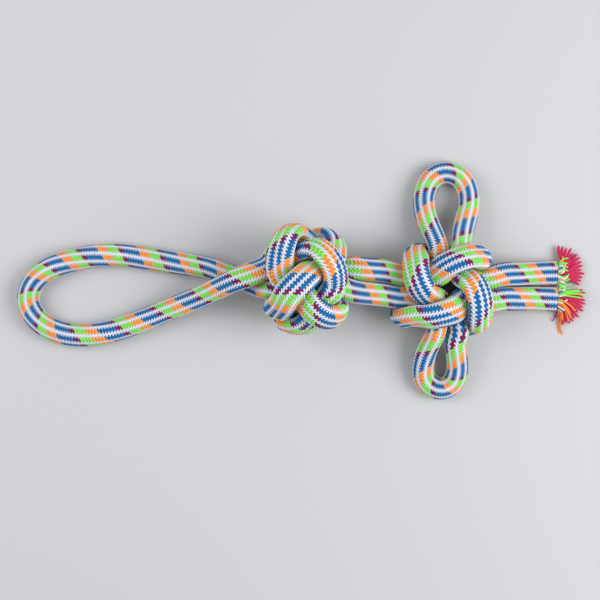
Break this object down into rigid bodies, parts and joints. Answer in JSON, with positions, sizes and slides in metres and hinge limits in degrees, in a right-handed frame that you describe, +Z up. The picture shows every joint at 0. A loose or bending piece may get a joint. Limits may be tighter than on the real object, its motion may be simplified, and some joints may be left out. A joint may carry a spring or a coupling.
{
  "type": "rope dog toy",
  "caption": "Braided rope tug toy for dogs: a long loop handle, a round ball knot, a flat cross knot with ear loops, and frayed tails.",
  "frame": {"origin": "under the middle of the toy's outline, on the surface it lies on", "axes": "+X from the loop handle towards the frayed tails, +Y towards the larger ear, +Z up, away from the surface"},
  "size_m": [0.5296, 0.2206, 0.0959],
  "materials": {
    "rope_cover": "matte braided polyester yarn, white with blue, orange, green and purple stitches",
    "core_yarn": "matte twisted yarn, crimson"
  },
  "bodies": {
    "ball_knot": {"ball_strand_back": "rope_cover", "ball_strand_front": "rope_cover", "handle_run_upper": "rope_cover", "handle_run_lower": "rope_cover", "waist_upper": "rope_cover", "waist_lower": "rope_cover"},
    "handle": {"handle_bend": "rope_cover"},
    "cross_knot": {"cross_arc_left": "rope_cover", "cross_arc_top": "rope_cover", "cross_arc_right": "rope_cover", "cross_arc_bottom": "rope_cover", "top_ear_leg_left": "rope_cover", "top_ear_leg_right": "rope_cover", "bottom_ear_leg_left": "rope_cover", "bottom_ear_leg_right": "rope_cover", "tail_upper_root": "rope_cover", "tail_lower_root": "rope_cover"},
    "top_ear": {"top_ear_tip": "rope_cover"},
    "bottom_ear": {"bottom_ear_tip": "rope_cover"},
    "tail_upper": {"tail_upper_end": "rope_cover", "core_upper": "core_yarn"},
    "tail_lower": {"tail_lower_end": "rope_cover", "core_lower": "core_yarn"}
  },
  "joints": [
    {"name": "handle_flex", "type": "hinge", "parent": "ball_knot", "child": "handle", "pos_m": [-0.118, -0.004, 0.01], "axis": [0, 1, 0], "range_deg": [-40, 60], "deforming": ["handle_run_upper", "handle_run_lower"]},
    {"name": "waist_flex", "type": "hinge", "parent": "ball_knot", "child": "cross_knot", "pos_m": [0.068, 0, 0.036], "axis": [0, -1, 0], "range_deg": [-25, 25], "deforming": ["waist_upper", "waist_lower"]},
    {"name": "top_ear_flex", "type": "hinge", "parent": "cross_knot", "child": "top_ear", "pos_m": [0.136, 0.058, 0.015], "axis": [1, 0, 0], "range_deg": [-25, 40], "deforming": ["top_ear_leg_left", "top_ear_leg_right"]},
    {"name": "bottom_ear_flex", "type": "hinge", "parent": "cross_knot", "child": "bottom_ear", "pos_m": [0.13, -0.066, 0.015], "axis": [-1, 0, 0], "range_deg": [-25, 40], "deforming": ["bottom_ear_leg_left", "bottom_ear_leg_right"]},
    {"name": "tail_upper_flex", "type": "hinge", "parent": "cross_knot", "child": "tail_upper", "pos_m": [0.197, 0.005, 0.018], "axis": [0, -1, 0], "range_deg": [-30, 45], "deforming": ["tail_upper_root"]},
    {"name": "tail_lower_flex", "type": "hinge", "parent": "cross_knot", "child": "tail_lower", "pos_m": [0.197, -0.017, 0.018], "axis": [0, -1, 0], "range_deg": [-30, 45], "deforming": ["tail_lower_root"]}
  ]
}
